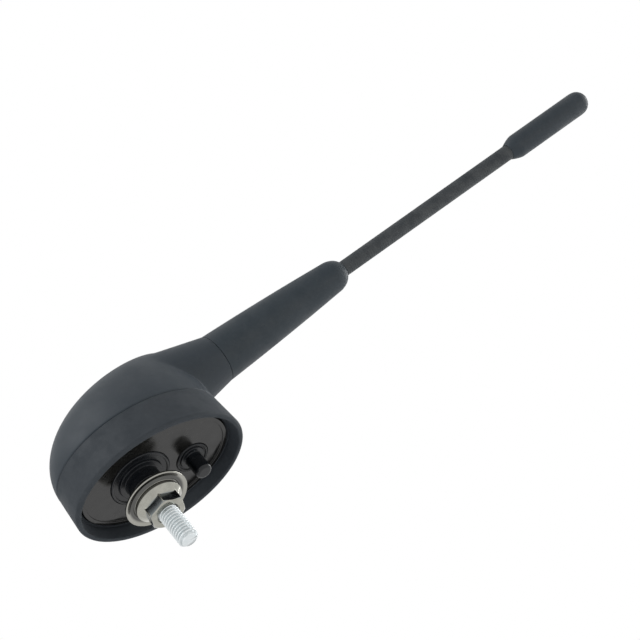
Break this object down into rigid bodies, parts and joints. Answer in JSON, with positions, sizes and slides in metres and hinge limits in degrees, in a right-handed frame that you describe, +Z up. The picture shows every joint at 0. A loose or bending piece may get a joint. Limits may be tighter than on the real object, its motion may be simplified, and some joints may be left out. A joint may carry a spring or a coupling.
{
  "type": "roof antenna",
  "caption": "Vehicle roof antenna with an oval domed base, a low screw-in mast with a tapered grip and tip cap, a threaded stud with flange nut and dished washer, and a locating peg.",
  "frame": {"origin": "where the stud's axis meets the roof's surface, in the plane of the skirt's lip", "axes": "+Z up out of the roof, the stud points along -Z, and the mast leans towards +X in the XZ plane"},
  "size_m": [0.209, 0.0402, 0.0731],
  "materials": {
    "cover": "fine matt grain, blue-grey black",
    "skirt_rubber": "moulded rubber, matt",
    "plate_plastic": "smooth gloss black",
    "bush_plastic": "smooth, slightly glossy black",
    "zinc_steel": "bright zinc plate, cut thread",
    "nickel_steel": "nickel plate, turned and tumbled",
    "brass_strip": "rolled sheet",
    "brass_socket": "turned",
    "glass_fibre": "drawn glass fibre rod",
    "copper_wire": "close-wound enamelled copper wire",
    "sleeve_rubber": "shrunk sleeve, mottled and matt",
    "grip_rubber": "moulded, matt",
    "cap_rubber": "moulded, matt",
    "seal_rubber": "smooth"
  },
  "bodies": {
    "base": {"dome_cover": "cover", "skirt_gasket": "skirt_rubber", "base_plate": "plate_plastic", "stud_bush": "bush_plastic", "locating_peg": "bush_plastic", "fixing_bolt": "zinc_steel", "contact_strip": "brass_strip", "strip_screw": "zinc_steel", "lock_washer": "zinc_steel", "mast_socket": "brass_socket"},
    "washer": {"dished_washer": "nickel_steel"},
    "nut": {"flange_nut": "nickel_steel"},
    "seal": {"seal_ring": "seal_rubber"},
    "mast": {"mast_ferrule": "nickel_steel", "mast_core": "glass_fibre", "mast_winding": "copper_wire", "mast_sleeve": "sleeve_rubber", "mast_grip": "grip_rubber", "tip_cap": "cap_rubber"}
  },
  "joints": [
    {"name": "nut_travel", "type": "slide", "parent": "base", "child": "washer", "axis": [0, 0, -1], "range_m": [-0.0032, 0.016]},
    {"name": "nut_turn", "type": "hinge", "parent": "washer", "child": "nut", "pos_m": [0, 0, -0.0055], "axis": [0, 0, -1], "range_deg": [-1152, 5760]},
    {"name": "mast_travel", "type": "slide", "parent": "base", "child": "seal", "axis": [0.991, 0, 0.134], "range_m": [0, 0.0088]},
    {"name": "mast_turn", "type": "hinge", "parent": "seal", "child": "mast", "pos_m": [0.0394, 0, 0.0275], "axis": [0.991, 0, 0.134], "range_deg": [0, 3960]}
  ],
  "couplings": [
    {"joint": "nut_turn", "follows": "nut_travel", "rad_per_m": 6283.2},
    {"joint": "mast_turn", "follows": "mast_travel", "rad_per_m": 7854}
  ]
}
